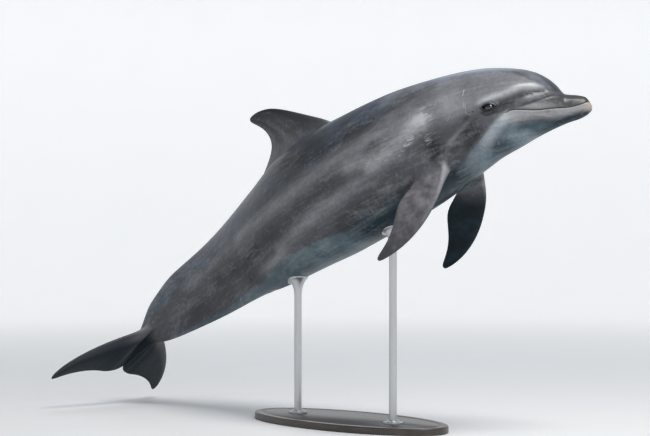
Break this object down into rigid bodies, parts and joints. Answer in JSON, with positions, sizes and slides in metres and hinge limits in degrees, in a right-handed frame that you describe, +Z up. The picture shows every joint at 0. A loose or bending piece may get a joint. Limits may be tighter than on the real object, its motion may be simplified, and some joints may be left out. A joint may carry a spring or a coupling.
{
  "type": "bottlenose dolphin display model",
  "caption": "Life-size bottlenose dolphin in a climbing pose, head turned to its left and tail flexed down, held over a flat base by slim rods.",
  "frame": {"origin": "centre of the underside of the stand's base, on the floor", "axes": "+Z up, +X the way the dolphin heads, +Y to its left; its right side faces -Y"},
  "size_m": [2.4363, 0.8169, 1.3811],
  "materials": {
    "skin_side": "smooth wet skin, mid grey",
    "skin_back": "smooth wet skin, dark slate grey",
    "skin_pale": "smooth wet skin, pale grey to cream",
    "skin_dark": "smooth wet skin, near black",
    "eye": "glossy dark brown eye",
    "stand_base": "dark satin lacquer",
    "stand_rod": "brushed"
  },
  "bodies": {
    "root": {"head": "skin_side", "upper_jaw": "skin_side", "lower_jaw": "skin_pale", "chest": "skin_side", "trunk": "skin_side", "tail_stock": "skin_back", "dorsal_fin": "skin_back", "flipper_right": "skin_dark", "flipper_left": "skin_dark", "fluke_right": "skin_dark", "fluke_left": "skin_dark", "eye_right": "eye", "eye_left": "eye", "stand_base": "stand_base", "stand_rod_front": "stand_rod", "stand_rod_rear": "stand_rod", "stand_collar_front": "stand_rod", "stand_collar_rear": "stand_rod"}
  },
  "joints": []
}
